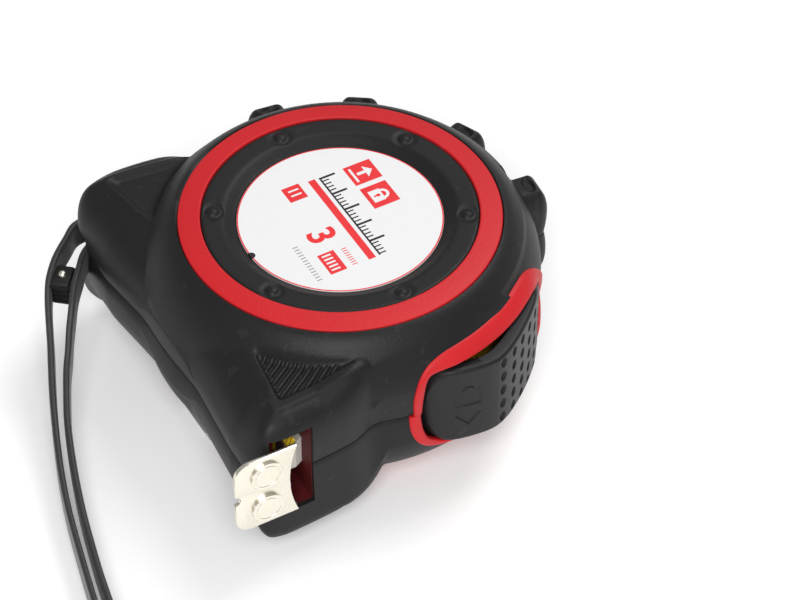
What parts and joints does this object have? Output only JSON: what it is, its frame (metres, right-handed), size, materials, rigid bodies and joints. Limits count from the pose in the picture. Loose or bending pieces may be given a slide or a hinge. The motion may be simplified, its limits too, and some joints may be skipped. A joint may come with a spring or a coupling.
{
  "type": "tape measure",
  "caption": "Pocket tape measure with a round rubber-clad case, ring, flat foot, side lock button, magnetic end hook, belt clip and wrist strap.",
  "frame": {"origin": "on the reel's axis, in the plane that the belt clip rests on", "axes": "+Z along the reel's axis towards the label, +X along the base towards the mouth, +Y from the base to the top of the case"},
  "size_m": [0.1062, 0.1095, 0.0382],
  "materials": {
    "red_plastic": "satin, finely textured",
    "black_rubber": "satin soft-touch overmould",
    "black_plastic": "satin",
    "label": "printed film",
    "white_nylon": "satin",
    "steel": "zinc plated",
    "spring_steel": "ground",
    "nickel": "bright nickel plate",
    "blade_paint": "coated, printed scale",
    "brake_rubber": "matt",
    "strap": "satin"
  },
  "bodies": {
    "case": {"front_shell": "red_plastic", "back_shell": "red_plastic", "front_grip": "black_rubber", "back_grip": "black_rubber", "label_surround": "black_rubber", "front_label": "label", "spool_washers": "white_nylon", "centre_post": "steel", "centre_screw": "steel", "lever_pin": "steel", "mouth_guide": "white_nylon", "case_screws": "steel", "belt_clip": "spring_steel", "clip_screws": "steel", "strap_post": "steel", "wrist_strap": "strap", "strap_keeper": "black_plastic", "keeper_stud": "nickel"},
    "reel": {"spool": "white_nylon", "spool_lid": "white_nylon", "power_spring": "spring_steel", "blade_coil": "blade_paint"},
    "blade": {"blade_tail": "blade_paint", "hook_rivets": "nickel"},
    "hook": {"hook": "nickel", "hook_magnets": "nickel"},
    "button": {"lock_button": "black_plastic"},
    "lever": {"brake_lever": "white_nylon", "brake_pad": "brake_rubber", "lever_spring": "spring_steel"}
  },
  "joints": [
    {"name": "spool_spin", "type": "hinge", "parent": "case", "child": "reel", "pos_m": [0, 0, 0.02075], "axis": [0, 0, 1], "range_deg": [0, 113.4]},
    {"name": "blade_slide", "type": "slide", "parent": "case", "child": "blade", "axis": [1, 0, 0], "range_m": [0, 0.056]},
    {"name": "hook_play", "type": "slide", "parent": "blade", "child": "hook", "axis": [1, 0, 0], "range_m": [0, 0.001]},
    {"name": "button_press", "type": "slide", "parent": "case", "child": "button", "axis": [-0.91, -0.4147, 0], "range_m": [0, 0.002], "stiffness_N_per_m": 1500},
    {"name": "lever_pivot", "type": "hinge", "parent": "case", "child": "lever", "pos_m": [0.027, -0.0165, 0.02075], "axis": [0, 0, 1], "range_deg": [0, 6]}
  ],
  "couplings": [
    {"joint": "blade_slide", "follows": "spool_spin", "m_per_rad": 0.028287},
    {"joint": "lever_pivot", "follows": "button_press", "rad_per_m": 52}
  ]
}
